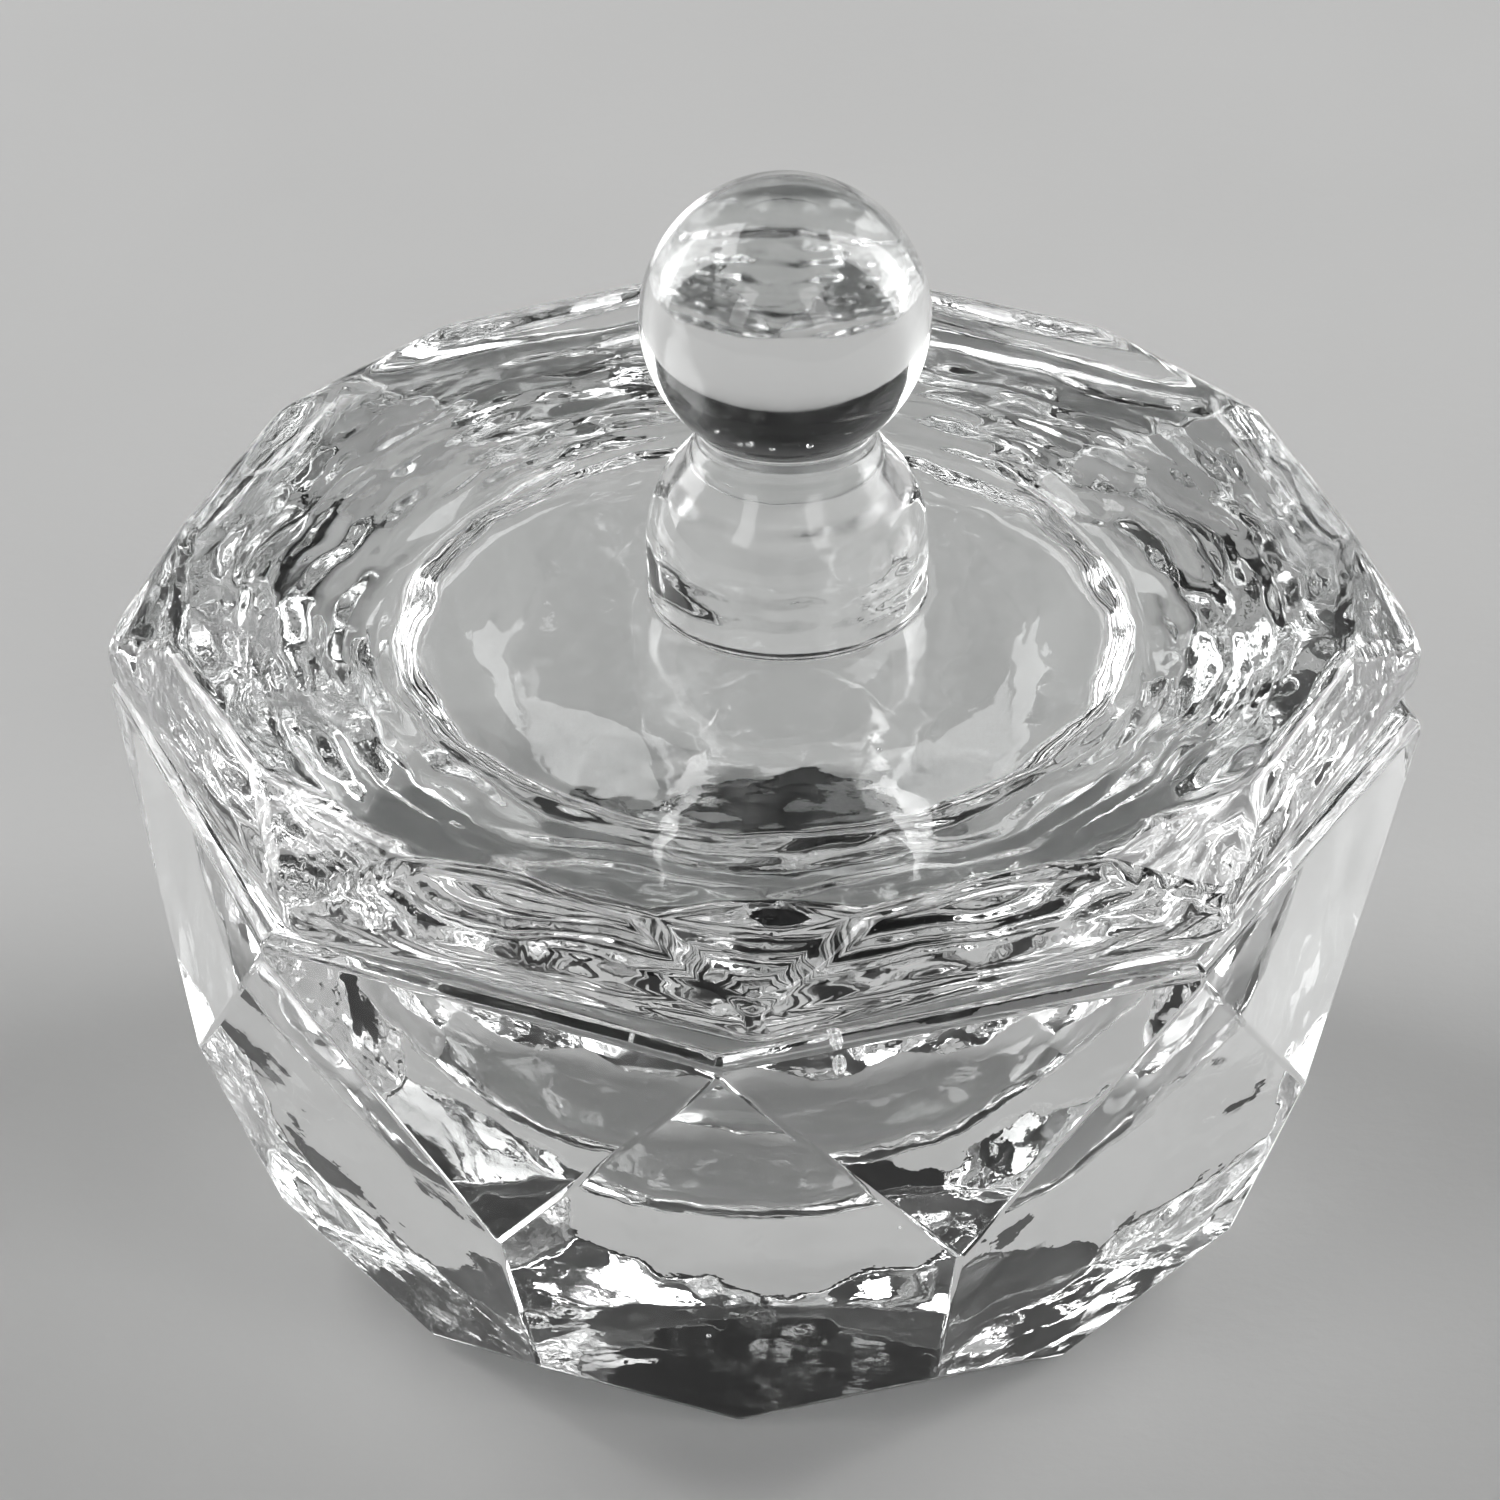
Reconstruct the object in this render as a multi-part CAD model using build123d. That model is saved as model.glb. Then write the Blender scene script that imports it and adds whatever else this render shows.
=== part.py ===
"""Covered dappen dish in clear pressed glass: an eight-sided bowl, a loose lid and its ball knob.

Millimetres, +Z up. The origin is the middle of the foot, on the surface that the dish stands on.
The corners of the bowl lie on the X and Y axes, so its flat sides face 22.5 degrees off them.
"""

from build123d import *

import os
from math import asin, atan2, cos, pi, radians, sin, sqrt

# Outline, shared by the bowl and the lid
sides = 8
bowl_corner_radius = 27.4
lid_overhang = 0.1  # how far the corners of the lid stand out past the bowl's
bevel_lean = 45  # degrees, the small bevels where the bowl and the lid meet at the rim

# Bowl
bowl_height = 24.4
rim_band = 0.9  # upright band between the top of the facets and the rim
side_draft = 1.6  # degrees, the flat sides close in slightly towards the foot
facet_lean = 20.8  # degrees from upright, the long facet below each corner
foot_corner_radius = 17.9
foot_bevel = 53.0  # degrees from upright, between the foot and each flat side
mouth_radius = 16.0  # of the hollow's own curve, carried up to the rim
cavity_depth = 15.0
lip_drop = 2.6  # the rounded lip starts this far below the rim
lip_width = 5.4  # and ends on the rim this far outside mouth_radius
rim_bevel = 0.5  # how far the small bevel at the rim cuts into the flat sides

# Lid
lid_turn = 3.0  # degrees, the lid lies loose and seldom lines up with the bowl
lid_girdle_height = 2.6  # from the underside to the widest level
lid_thickness = 5.4
lid_skirt_draft = 7.0  # degrees, below the widest level
lid_side_lean = 20.6  # degrees from upright, the long bevels
lid_corner_lean = 50.0  # degrees from upright, the bevel over each corner
lid_bevel = 1.0  # how far the small bevel round the underside reaches in from the widest level

# Round plug under the lid that drops into the bowl's mouth
plug_clearance = 0.4  # all round, where the hollow meets the lip
plug_end_gap = 0.4  # the plug ends this far above that level
plug_round = 0.5

# Knob, bonded to the top of the lid
knob_offset = 1.0  # set by hand, slightly off the middle of the lid
ball_radius = 6.05
ball_centre_height = 13.1  # above the top of the lid
joint_radius = 3.9  # where the ball meets the top of the neck
waist_radius = 3.75
waist_height = 7.4
shoulder_radius = 5.3
shoulder_height = 4.9
neck_radius = 5.85
neck_height = 2.4
neck_foot_radius = 5.7
neck_foot_edge = 0.2

corner_angle = 360 / sides
half_angle = corner_angle / 2
corner_to_flat = cos(radians(half_angle))
lid_corner_radius = bowl_corner_radius + lid_overhang
hollow_ball = (mouth_radius**2 + cavity_depth**2) / (2 * cavity_depth)
hollow_centre = bowl_height - cavity_depth + hollow_ball
lip_height = bowl_height - lip_drop
throat_radius = sqrt(hollow_ball**2 - (hollow_centre - lip_height) ** 2)


def beyond(azimuth, reach, height, lean):
    """A plane facing out along an azimuth, through a point at a reach and height, tipped up by lean."""
    out = Vector(cos(radians(azimuth)), sin(radians(azimuth)), 0)
    normal = out * cos(radians(lean)) + Vector(0, 0, sin(radians(lean)))
    return Plane(origin=out * reach + Vector(0, 0, height), z_dir=normal)


def cut_facets(body, first, reach, height, lean):
    """Grinds one flat per side off the body, the first facing along the given azimuth."""
    for side in range(sides):
        plane = beyond(first + side * corner_angle, reach, height, lean)
        body = body.split(plane, keep=Keep.BOTTOM)
    return body


def blank(bottom, top):
    """A round blank, twice as wide as the dish, to grind the facets from."""
    radius = 2 * lid_corner_radius
    return Solid.make_cylinder(radius, top - bottom, Plane.XY.offset(bottom))


def make_cavity():
    """The round hollow, part of a ball, and the wide rounded lip that opens out of it at the rim."""
    floor = (0, 0, hollow_centre - hollow_ball)
    half_way = asin(throat_radius / hollow_ball) / 2
    hollow_side = (hollow_ball * sin(half_way), 0, hollow_centre - hollow_ball * cos(half_way))
    throat = (throat_radius, 0, lip_height)
    lip_edge = (mouth_radius + lip_width, 0, bowl_height)
    up_the_wall = (hollow_centre - lip_height, 0, throat_radius)
    outline = [
        Edge.make_three_point_arc(floor, hollow_side, throat),
        Edge.make_spline([throat, lip_edge], tangents=[up_the_wall, (1, 0, 0)]),
        Edge.make_line(lip_edge, (0, 0, bowl_height)),
        Edge.make_line((0, 0, bowl_height), floor),
    ]
    return Solid.revolve(make_face(Wire(outline)).face(), 360, Axis.Z)


def make_bowl():
    body = blank(0, bowl_height)
    facet_top = bowl_height - rim_band
    body = cut_facets(body, half_angle, bowl_corner_radius * corner_to_flat, bowl_height, -side_draft)
    body = cut_facets(body, 0, bowl_corner_radius, facet_top, -facet_lean)
    body = cut_facets(body, half_angle, foot_corner_radius * corner_to_flat, 0, -foot_bevel)
    rim_reach = bowl_corner_radius * corner_to_flat - rim_bevel
    body = cut_facets(body, half_angle, rim_reach, bowl_height, bevel_lean)
    return body - make_cavity()


def make_plug():
    """The plug on the underside of the lid, round so that the lid may lie at any turn."""
    bottom = lip_height + plug_end_gap
    plug = Solid.make_cylinder(throat_radius - plug_clearance, bowl_height - bottom, Plane.XY.offset(bottom))
    return fillet(plug.edges().filter_by(GeomType.CIRCLE).group_by(Axis.Z)[0], plug_round)


def make_lid():
    girdle = bowl_height + lid_girdle_height
    flat_reach = lid_corner_radius * corner_to_flat
    body = blank(bowl_height, bowl_height + lid_thickness)
    body = cut_facets(body, half_angle, flat_reach, girdle, -lid_skirt_draft)
    body = cut_facets(body, half_angle, flat_reach, girdle, lid_side_lean)
    body = cut_facets(body, 0, lid_corner_radius, girdle, lid_corner_lean)
    body = cut_facets(body, half_angle, flat_reach - lid_bevel, bowl_height, -bevel_lean)
    return (body + make_plug()).rotate(Axis.Z, lid_turn)


def make_knob():
    """A ball on a domed neck whose flat foot sits on the lid, turned about its own axis."""
    lid_top = bowl_height + lid_thickness
    ball_height = lid_top + ball_centre_height
    joint_drop = sqrt(ball_radius**2 - joint_radius**2)
    foot = (neck_foot_radius, 0, lid_top)
    foot_edge = (neck_foot_radius, 0, lid_top + neck_foot_edge)
    neck = (neck_radius, 0, lid_top + neck_height)
    shoulder = (shoulder_radius, 0, lid_top + shoulder_height)
    waist = (waist_radius, 0, lid_top + waist_height)
    joint = (joint_radius, 0, ball_height - joint_drop)
    half_way = (pi / 2 - atan2(joint_drop, joint_radius)) / 2
    ball_side = (ball_radius * cos(half_way), 0, ball_height + ball_radius * sin(half_way))
    pole = (0, 0, ball_height + ball_radius)
    outline = [
        Edge.make_line((0, 0, lid_top), foot),
        Edge.make_line(foot, foot_edge),
        Edge.make_spline([foot_edge, neck, shoulder, waist, joint]),
        Edge.make_three_point_arc(joint, ball_side, pole),
        Edge.make_line(pole, (0, 0, lid_top)),
    ]
    profile = make_face(Wire(outline)).face()
    return Solid.revolve(profile, 360, Axis.Z).translate((knob_offset, 0, 0))


os.makedirs("parts", exist_ok=True)
for name, solid in {"bowl": make_bowl(), "lid": make_lid(), "knob": make_knob()}.items():
    export_step(solid, f"parts/{name}.step")
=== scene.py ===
"""Covered dappen dish in clear pressed glass: the looks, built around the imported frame.

Lengths are millimetres while a mesh is being made, and metres once it is an object. The bowl's corners lie on
the X and Y axes, the front is -Y, and the dish stands on the floor at z = 0.
"""

from math import acos, asin, atan2, cos, pi, radians, sin, sqrt

import bmesh
import bpy
from mathutils import Matrix, Vector, noise


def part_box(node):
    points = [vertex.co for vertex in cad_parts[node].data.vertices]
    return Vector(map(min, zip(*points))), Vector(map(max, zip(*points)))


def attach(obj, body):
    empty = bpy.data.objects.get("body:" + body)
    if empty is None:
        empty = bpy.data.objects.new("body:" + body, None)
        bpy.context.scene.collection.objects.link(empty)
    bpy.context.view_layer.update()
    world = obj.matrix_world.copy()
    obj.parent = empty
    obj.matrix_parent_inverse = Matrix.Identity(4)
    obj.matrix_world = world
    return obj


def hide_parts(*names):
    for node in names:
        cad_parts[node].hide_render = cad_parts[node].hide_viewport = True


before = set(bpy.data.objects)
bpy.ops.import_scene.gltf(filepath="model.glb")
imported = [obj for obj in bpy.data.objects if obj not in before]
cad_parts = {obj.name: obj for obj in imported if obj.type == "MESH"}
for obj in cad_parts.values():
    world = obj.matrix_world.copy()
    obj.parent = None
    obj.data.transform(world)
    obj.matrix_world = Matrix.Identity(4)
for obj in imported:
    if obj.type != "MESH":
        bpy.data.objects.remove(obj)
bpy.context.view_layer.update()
MM = 0.001

# The shared frame, in millimetres
bowl_low, bowl_high = (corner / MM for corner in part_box("bowl"))
lid_low, lid_high = (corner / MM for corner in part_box("lid"))
knob_low, knob_high = (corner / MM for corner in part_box("knob"))
bowl_height = bowl_high.z
lid_top = lid_high.z
knob_middle = (knob_low.x + knob_high.x) / 2

# Outline
sides = 8
bowl_corner_radius = 27.4
lid_corner_radius = 27.5
corner_angle = 2 * pi / sides
half_angle = corner_angle / 2
corner_to_flat = cos(half_angle)

# Bowl
rim_band = 0.9
side_draft = radians(1.6)
facet_lean = radians(20.8)
foot_corner_radius = 17.9
foot_bevel = radians(53.0)
rim_bevel = 0.5
mouth_radius = 16.0
cavity_depth = 15.0
lip_drop = 2.6
lip_width = 5.4
lip_height = bowl_height - lip_drop
hollow_ball = (mouth_radius**2 + cavity_depth**2) / (2 * cavity_depth)
hollow_centre = bowl_height - cavity_depth + hollow_ball
throat_radius = sqrt(hollow_ball**2 - (hollow_centre - lip_height) ** 2)

# Lid
lid_turn = radians(3.0)
lid_girdle = bowl_height + 2.6
lid_skirt_draft = radians(7.0)
lid_side_lean = radians(20.6)
lid_corner_lean = radians(50.0)
lid_bevel = 1.0
plug_radius = throat_radius - 0.4
plug_round = 1.3
plug_bottom = lid_low.z

# Knob
ball_radius = 6.05
ball_centre = knob_high.z - ball_radius
joint_radius = 3.9
neck_outline = (
    (6.1, 0), (5.9, 0.03), (5.79, 0.12), (5.76, 0.35), (5.8, 1.0), (5.86, 2.2), (5.75, 3.5),
    (5.27, 4.95), (4.55, 6.0), (3.98, 6.8), (3.74, 7.6), (3.82, 8.2))

knob_haze_height = 5.0  # above the lid's top, where handling marks begin

# Seed bubbles: middle, radius, stretch upward
bowl_bubbles = (
    ((4.2, -22.6, 21.9), 0.3, 1.7), ((3.1, -22.9, 21.6), 0.1, 1.0), ((-3.4, -21.8, 21.2), 0.11, 1.0),
    ((-6.2, -20.4, 18.4), 0.09, 1.0), ((6.9, -19.2, 13.0), 0.08, 1.0), ((-1.4, -13.2, 4.6), 0.1, 1.0))
lid_bubbles = (
    ((0.0, -2.1, 39.6), 0.12, 1.0), ((-0.3, -2.15, 39.55), 0.09, 1.0), ((0.7, -2.2, 39.5), 0.1, 1.0),
    ((1.9, -2.1, 39.6), 0.12, 1.0), ((-1.0, -1.9, 39.9), 0.07, 1.0),
    ((-1.5, -1.3, 27.0), 0.16, 1.0), ((-1.6, -2.1, 26.8), 0.15, 1.0), ((-2.6, -2.4, 27.2), 0.13, 1.0),
    ((1.6, 10.7, 27.0), 0.12, 1.0), ((1.7, 8.2, 27.3), 0.14, 1.0), ((5.4, -9.8, 26.1), 0.1, 1.0))

# Finish
weld = 0.005  # corners nearer than this are one corner
bowl_edge = 0.4  # across the fire-polished round of an edge
lid_edge = 1.0
edge_segments = 4
step = 0.45  # size of a quad in the dense stretches
gap = 0.02  # air between the lid and the rim
wave = 0.12  # height of the ripples that pressing leaves
lip_wave = 0.1  # and on the lip, where the plunger met the mould
plug_sway = 0.3  # of the plug's side, in and out
ring_pitch = 1.6  # between the ring-shaped ripples round the lip and under the lid


def plane(azimuth, reach, height, lean):
    """A point and the outward normal of a flat that faces along an azimuth, tipped up by lean."""
    out = Vector((cos(azimuth), sin(azimuth), 0))
    return out * reach + Vector((0, 0, height)), out * cos(lean) + Vector((0, 0, sin(lean)))


def grind(mesh, first, reach, height, lean):
    """Grinds one flat per side off the mesh, the first facing along the given azimuth."""
    for side in range(sides):
        point, normal = plane(first + side * corner_angle, reach, height, lean)
        everything = mesh.verts[:] + mesh.edges[:] + mesh.faces[:]
        cut = bmesh.ops.bisect_plane(mesh, geom=everything, plane_co=point, plane_no=normal, clear_outer=True)
        rim = [item for item in cut["geom_cut"] if isinstance(item, bmesh.types.BMEdge)]
        bmesh.ops.contextual_create(mesh, geom=rim)


def blank(bottom, top):
    """A block, wider than the dish, to grind the facets from."""
    mesh = bmesh.new()
    bmesh.ops.create_cube(mesh, size=1, matrix=Matrix.Diagonal((80, 80, top - bottom, 1)))
    bmesh.ops.translate(mesh, verts=mesh.verts, vec=(0, 0, (bottom + top) / 2))
    return mesh


def polish_edges(mesh, width):
    """Rounds every edge between two facets.

    Corners where several flats meet in one point are welded first: a bevel is held to the shortest edge, and an
    edge of no length would hold it to nothing.
    """
    bmesh.ops.remove_doubles(mesh, verts=mesh.verts, dist=weld)
    bmesh.ops.bevel(
        mesh, geom=mesh.edges[:], offset=width, offset_type="WIDTH", segments=edge_segments,
        profile=0.5, affect="EDGES", clamp_overlap=True)


def open_face(mesh, upward):
    """Takes off the top or bottom face and returns its outline, cut into short edges, in order."""
    sign = 1 if upward else -1
    face = max(mesh.faces, key=lambda f: (round(sign * f.calc_center_median().z, 3), f.calc_area()))
    for edge in face.edges[:]:
        cuts = round(edge.calc_length() / step) - 1
        if cuts > 0:
            bmesh.ops.subdivide_edges(mesh, edges=[edge], cuts=cuts)
    outline = list(face.verts)
    bmesh.ops.delete(mesh, geom=[face], context="FACES_ONLY")
    return outline


def lathe(mesh, outline, rows, pole, flip):
    """Carries a surface in from an outline, ring by ring, to a point on the axis."""
    azimuths = [atan2(vert.co.y, vert.co.x) for vert in outline]
    previous = outline
    for row in rows:
        ring = [mesh.verts.new(row(vert.co, azimuth)) for vert, azimuth in zip(outline, azimuths)]
        join_rings(mesh, previous, ring, flip)
        previous = ring
    tip = mesh.verts.new(pole)
    for vert, after in zip(previous, previous[1:] + previous[:1]):
        mesh.faces.new((vert, tip, after) if flip else (vert, after, tip))


def join_rings(mesh, outer, inner, flip):
    after = zip(outer[1:] + outer[:1], inner[1:] + inner[:1])
    for a, b, (c, d) in zip(outer, inner, after):
        mesh.faces.new((a, b, d, c) if flip else (a, c, d, b))


def flat_rows(radius, height, count, dip, size, seed):
    """Rings from an outline in to a circle, on a flat that the pressing left a little rippled."""
    def row(share):
        def place(start, azimuth):
            reach = start.xy.length
            at = Vector((cos(azimuth), sin(azimuth), 0)) * (reach + (radius - reach) * share)
            fade = min(1, 5 * share)
            depth = 1 + 0.45 * ripple(at, size, seed) + 0.55 * rings(at, ring_pitch, seed)
            return at + Vector((0, 0, height + dip * fade * max(0, depth)))
        return place
    return [row(k / count) for k in range(1, count + 1)]


def round_row(radius, height, sway, size, seed, centre=Vector()):
    """One ring of a turned surface. Ripples move it in and out by up to sway."""
    def place(start, azimuth):
        out = Vector((cos(azimuth), sin(azimuth), 0))
        at = out * radius + Vector((0, 0, height))
        return at + centre + out * sway * ripple(at, size, seed)
    return place


def lip_row(radius, height, inward, sway):
    """One ring of the bowl's lip. Ring-shaped ripples sink it into the glass by up to twice sway."""
    def place(start, azimuth):
        out = Vector((cos(azimuth), sin(azimuth), 0))
        at = out * radius + Vector((0, 0, height))
        sink = sway * (1 + rings(at, ring_pitch, 7.7))
        return at + sink * (out * inward.x + Vector((0, 0, inward.y)))
    return place


def rings(at, pitch, seed):
    """Ring-shaped ripples about the axis that wander in and out, about -1 to 1."""
    reach = at.xy.length
    wander = 0.9 * ripple(at, 6.5, seed) + 0.35 * ripple(at, 2.6, seed + 4)
    return sin(2 * pi * (reach / pitch + wander)) * (0.65 + 0.35 * ripple(at, 4.0, seed + 9))


def ripple(at, size, seed):
    """A soft ripple, about -1 to 1."""
    return noise.noise(at / size + Vector((seed, -seed, 2 * seed)))


def finish_mesh(mesh, name, bubbles):
    """Makes the object. Each bubble is a hollow in the glass: its middle, its radius and its stretch upward."""
    bmesh.ops.recalc_face_normals(mesh, faces=mesh.faces)
    if mesh.calc_volume(signed=True) < 0:
        bmesh.ops.reverse_faces(mesh, faces=mesh.faces)
    for middle, radius, stretch in bubbles:
        shape = Matrix.Translation(middle) @ Matrix.Diagonal((1, 1, stretch, 1))
        shell = bmesh.ops.create_icosphere(mesh, subdivisions=3, radius=radius, matrix=shape)
        bmesh.ops.reverse_faces(mesh, faces=list({face for vert in shell["verts"] for face in vert.link_faces}))
    bmesh.ops.scale(mesh, vec=(MM,) * 3, verts=mesh.verts)
    for face in mesh.faces:
        face.smooth = True
    data = bpy.data.meshes.new(name)
    mesh.to_mesh(data)
    mesh.free()
    piece = bpy.data.objects.new(name, data)
    bpy.context.scene.collection.objects.link(piece)
    weighted = piece.modifiers.new("flat facets", "WEIGHTED_NORMAL")
    weighted.weight = 100
    return piece


def make_bowl():
    mesh = blank(0, bowl_height)
    flat = bowl_corner_radius * corner_to_flat
    grind(mesh, half_angle, flat, bowl_height, -side_draft)
    grind(mesh, 0, bowl_corner_radius, bowl_height - rim_band, -facet_lean)
    grind(mesh, half_angle, foot_corner_radius * corner_to_flat, 0, -foot_bevel)
    grind(mesh, half_angle, flat - rim_bevel, bowl_height, radians(45))
    polish_edges(mesh, bowl_edge)
    outline = open_face(mesh, True)

    dip = -wave
    rows = flat_rows(mouth_radius + lip_width, bowl_height, 12, dip, 3.5, 3.1)
    edge = Vector((mouth_radius + lip_width, bowl_height + 2 * dip))
    throat = Vector((throat_radius, lip_height))
    wall = Vector((hollow_centre - lip_height, throat_radius)).normalized()
    level = edge + (throat - edge).length * 0.45 * Vector((-1, 0))
    steep = throat + (throat - edge).length * 0.3 * wall
    for k in range(1, 28):
        share = k / 28
        radius, height = bezier(edge, level, steep, throat, share)
        after = bezier(edge, level, steep, throat, share + 0.01)
        along = (after - Vector((radius, height))).normalized()
        rows.append(lip_row(radius, height, Vector((-along.y, along.x)), lip_wave * sin(pi * share) ** 0.5))
    lowest = asin(throat_radius / hollow_ball)
    count = int(hollow_ball * lowest / step)
    for k in range(count):
        angle = lowest * (1 - k / count)
        sway = 0.12 * min(1, 4 * (1 - k / count))
        rows.append(round_row(hollow_ball * sin(angle), hollow_centre - hollow_ball * cos(angle), sway, 5.5, 1.3))
    lathe(mesh, outline, rows, (0, 0, hollow_centre - hollow_ball), False)
    return finish_mesh(mesh, "bowl_glass", bowl_bubbles)


def make_lid():
    mesh = blank(bowl_height, lid_top)
    flat = lid_corner_radius * corner_to_flat
    grind(mesh, half_angle, flat, lid_girdle, -lid_skirt_draft)
    grind(mesh, half_angle, flat, lid_girdle, lid_side_lean)
    grind(mesh, 0, lid_corner_radius, lid_girdle, lid_corner_lean)
    grind(mesh, half_angle, flat - lid_bevel, bowl_height, -radians(45))
    polish_edges(mesh, lid_edge)
    bmesh.ops.rotate(mesh, verts=mesh.verts, cent=(0, 0, 0), matrix=Matrix.Rotation(lid_turn, 3, "Z"))
    underside = open_face(mesh, False)

    rows = flat_rows(plug_radius + 0.3, bowl_height + gap, 26, wave, 3.0, 11.3)
    rows.append(round_row(plug_radius, bowl_height + gap + wave - 0.06, 0.05, 3.0, 5.2))
    straight = bowl_height - plug_bottom - plug_round
    for k in range(1, 5):
        rows.append(round_row(plug_radius - plug_sway, bowl_height - k / 5 * straight, plug_sway, 2.2, 5.2))
    for k in range(12):
        turn = k / 11 * pi / 2
        radius = plug_radius - plug_sway - plug_round * (1 - cos(turn))
        rows.append(round_row(radius, plug_bottom + plug_round * (1 - sin(turn)), plug_sway, 2.2, 5.2))
    flat = plug_radius - plug_sway - plug_round
    for k in range(1, 36):
        rows.append(plug_row(flat * (1 - k / 36)))
    lathe(mesh, underside, rows, plug_row(0)(None, 0), True)
    plateau = open_face(mesh, True)

    centre = Vector((knob_middle, 0, 0))
    rows = plateau_rows(centre, 24)
    curve = smooth_outline(neck_outline, 6)
    rows += [round_row(radius, lid_top + height, 0.01, 4.0, 2.2, centre) for radius, height in curve[1:]]
    low = -acos(joint_radius / ball_radius)
    count = 48
    for k in range(count):
        angle = low + (pi / 2 - low) * k / count
        row = round_row(ball_radius * cos(angle), ball_centre + ball_radius * sin(angle), 0, 1, 0, centre)
        rows.append(row)
    lathe(mesh, plateau, rows, centre + Vector((0, 0, ball_centre + ball_radius)), False)
    return finish_mesh(mesh, "lid_glass", lid_bubbles)


def plug_row(radius):
    """One ring of the plug's flat end, which bellies up a little towards the middle."""
    def place(start, azimuth):
        at = Vector((radius * cos(azimuth), radius * sin(azimuth), plug_bottom))
        belly = 0.1 * (1 - (radius / plug_radius) ** 2)
        return at + Vector((0, 0, belly + 0.02 * (1 + ripple(at, 6.0, 15.3)) * (1 - radius / plug_radius)))
    return place


def plateau_rows(centre, count):
    """Rings from the edge of the lid's flat top in to the foot of the neck."""
    def row(share):
        def place(start, azimuth):
            foot = centre + neck_outline[0][0] * Vector((cos(azimuth), sin(azimuth), 0))
            at = Vector((start.x, start.y, 0)).lerp(foot, share)
            dip = 0.012 * min(1, 6 * share, 6 * (1 - share)) * (1 + ripple(at, 6.0, 21.3))
            return at + Vector((0, 0, lid_top - dip))
        return place
    return [row(k / count) for k in range(1, count + 1)]


def bezier(a, b, c, d, share):
    """A point on a cubic curve."""
    rest = 1 - share
    return a * rest**3 + 3 * b * rest**2 * share + 3 * c * rest * share**2 + d * share**3


def smooth_outline(points, parts):
    """A Catmull-Rom curve through the points, with parts steps between each pair."""
    spread = [points[0], *points, points[-1]]
    curve = []
    for a, b, c, d in zip(spread, spread[1:], spread[2:], spread[3:]):
        for k in range(parts):
            t = k / parts
            curve.append(tuple(
                0.5 * (2 * q + (r - p) * t + (2 * p - 5 * q + 4 * r - s) * t**2 + (3 * q - p - 3 * r + s) * t**3)
                for p, q, r, s in zip(a, b, c, d)))
    return curve


class Shading:
    """Builds one material's nodes around its Principled shader."""

    def __init__(self, name):
        self.material = bpy.data.materials.new(name)
        self.material.use_nodes = True
        self.nodes, self.links = self.material.node_tree.nodes, self.material.node_tree.links
        self.shader = self.nodes["Principled BSDF"]
        self.place = self.nodes.new("ShaderNodeTexCoord").outputs["Object"]

    def noise(self, scale, detail=3.0, stretch=(1, 1, 1), turn=(0, 0, 0)):
        """Noise at a number of features per metre, drawn out along the axes where stretch is small."""
        mapping = self.nodes.new("ShaderNodeMapping")
        mapping.inputs["Scale"].default_value = stretch
        mapping.inputs["Rotation"].default_value = turn
        texture = self.nodes.new("ShaderNodeTexNoise")
        texture.inputs["Scale"].default_value = scale
        texture.inputs["Detail"].default_value = detail
        self.links.new(self.place, mapping.inputs["Vector"])
        self.links.new(mapping.outputs["Vector"], texture.inputs["Vector"])
        return texture.outputs["Fac"]

    def between(self, value, start, end, low, high):
        """Carries start..end of a value over to low..high, and holds it there outside."""
        node = self.nodes.new("ShaderNodeMapRange")
        self.links.new(value, node.inputs["Value"])
        for socket, number in (("From Min", start), ("From Max", end), ("To Min", low), ("To Max", high)):
            node.inputs[socket].default_value = number
        return node.outputs["Result"]

    def larger(self, one, other):
        node = self.nodes.new("ShaderNodeMath")
        node.operation = "MAXIMUM"
        self.links.new(one, node.inputs[0])
        self.links.new(other, node.inputs[1])
        return node.outputs["Value"]

    def tint(self, value, low, high):
        """A colour from low to high as a value goes from 0 to 1."""
        ramp = self.nodes.new("ShaderNodeValToRGB")
        ramp.color_ramp.elements[0].color = (*low, 1)
        ramp.color_ramp.elements[1].color = (*high, 1)
        self.links.new(value, ramp.inputs["Fac"])
        self.links.new(ramp.outputs["Color"], self.shader.inputs["Base Color"])

    def bump(self, *layers):
        """Layers of relief, each a height map and its depth in metres."""
        below = None
        for height, depth in layers:
            node = self.nodes.new("ShaderNodeBump")
            node.inputs["Distance"].default_value = depth
            self.links.new(height, node.inputs["Height"])
            if below:
                self.links.new(below, node.inputs["Normal"])
            below = node.outputs["Normal"]
        self.links.new(below, self.shader.inputs["Normal"])


def make_glass(name, haze, marks):
    """Clear glass with handling marks, fine wipe marks, and the slight waviness of pressed glass.

    The polish is haze rough where it is clean, and rougher by up to marks where it isn't.
    """
    glass = Shading(name)
    glass.shader.inputs["Transmission Weight"].default_value = 1
    glass.shader.inputs["IOR"].default_value = 1.52
    smudges = glass.between(glass.noise(160, 5), 0.52, 0.75, haze, haze + 0.75 * marks)
    wipes = glass.between(glass.noise(900, 4, (0.12, 1, 1), (0.3, 0.5, 0.4)), 0.62, 0.8, haze, haze + marks)
    glass.links.new(glass.larger(smudges, wipes), glass.shader.inputs["Roughness"])
    glass.tint(glass.noise(90, 2), (0.975, 0.985, 0.982), (0.995, 0.998, 0.997))
    glass.bump((glass.noise(140, 1), 0.0003), (glass.noise(420, 1), 0.00005), (glass.noise(1500, 2), 0.000004))
    return glass.material


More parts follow.
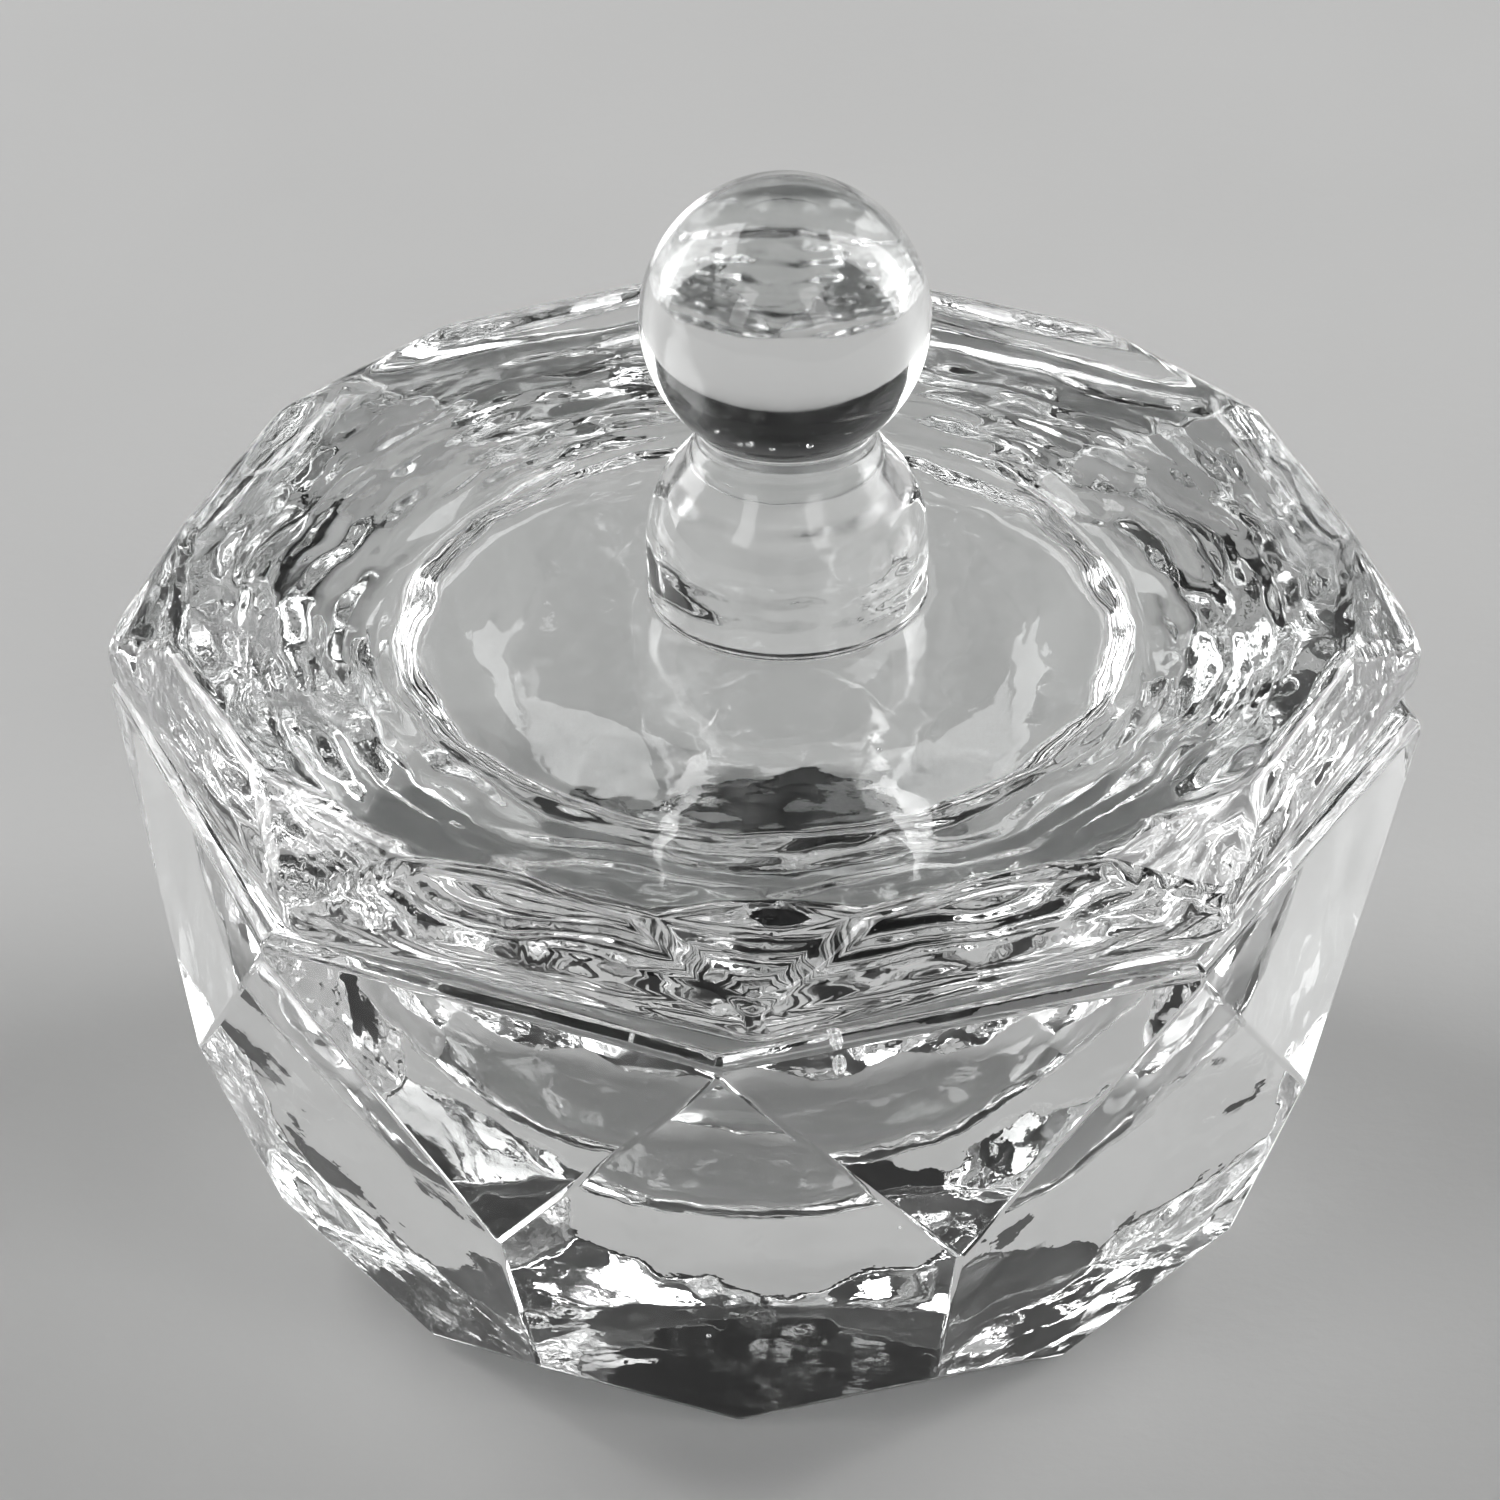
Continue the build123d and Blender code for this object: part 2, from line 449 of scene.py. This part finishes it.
def make_floor():
    mesh = bmesh.new()
    bmesh.ops.create_circle(mesh, cap_ends=True, segments=128, radius=0.6)
    data = bpy.data.meshes.new("floor")
    mesh.to_mesh(data)
    mesh.free()
    floor = bpy.data.objects.new("floor", data)
    bpy.context.scene.collection.objects.link(floor)
    floor.location.z = -0.00005
    board = Shading("pale floor")
    board.tint(board.noise(25, 4), (0.59, 0.59, 0.585), (0.62, 0.62, 0.615))
    board.links.new(board.between(board.noise(60, 4), 0.3, 0.7, 0.5, 0.65), board.shader.inputs["Roughness"])
    board.bump((board.noise(1200, 3), 0.00002))
    data.materials.append(board.material)


def add_panel(name, place, aim, size, power):
    """A soft rectangular light panel."""
    light = bpy.data.lights.new(name, "AREA")
    light.shape = "RECTANGLE"
    light.size, light.size_y = size
    light.energy = power
    panel = bpy.data.objects.new(name, light)
    bpy.context.scene.collection.objects.link(panel)
    panel.location = place
    panel.rotation_euler = (Vector(aim) - Vector(place)).to_track_quat("-Z", "Y").to_euler()
    return panel


def add_camera():
    camera = bpy.data.objects.new("camera", bpy.data.cameras.new("camera"))
    bpy.context.scene.collection.objects.link(camera)
    bpy.context.scene.camera = camera
    elevation, azimuth, roll = radians(33.1), radians(4.3), radians(0.61)
    distance = 0.9
    back = Vector((sin(azimuth) * cos(elevation), -cos(azimuth) * cos(elevation), sin(elevation)))
    right = Vector((cos(azimuth), sin(azimuth), 0))
    aim = Vector((0, 0, 0.0216)) - 0.00064 * right
    camera.location = aim + distance * back
    camera.rotation_mode = "QUATERNION"
    camera.rotation_quaternion = (-back).to_track_quat("-Z", "Y") @ Matrix.Rotation(-roll, 3, "Z").to_quaternion()
    camera.data.sensor_width = 36
    camera.data.lens = 517.9
    camera.data.clip_start, camera.data.clip_end = 0.01, 20


glass = make_glass("clear pressed glass", 0.0, 0.12)
knob_glass = make_glass("handled knob glass", 0.07, 0.2)
bowl = make_bowl()
lid = make_lid()
for piece, body, nodes in ((bowl, "bowl", ("bowl",)), (lid, "lid", ("lid", "knob"))):
    piece.data.materials.append(glass)
    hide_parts(*nodes)
    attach(piece, body)
lid.data.materials.append(knob_glass)
for face in lid.data.polygons:
    if face.center.z > (lid_top + knob_haze_height) * MM:
        face.material_index = 1

make_floor()
add_panel("left panel", (-0.6, 0.25, 0.35), (0, 0, 0.02), (0.35, 0.9), 5)
add_panel("right panel", (0.6, 0.25, 0.35), (0, 0, 0.02), (0.35, 0.9), 5)
add_panel("front left", (-0.4, -0.5, 0.5), (0, 0, 0.02), (0.2, 0.5), 1.0)
add_panel("front right", (0.4, -0.5, 0.5), (0, 0, 0.02), (0.2, 0.5), 1.0)
add_camera()

world = bpy.data.worlds.new("studio")
bpy.context.scene.world = world
world.use_nodes = True
world.node_tree.nodes["Background"].inputs["Color"].default_value = (0.01, 0.01, 0.01, 1)
cycles = bpy.context.scene.cycles
cycles.max_bounces = 32
cycles.transmission_bounces = 32
cycles.glossy_bounces = 16
bpy.context.scene.view_settings.view_transform = "Standard"
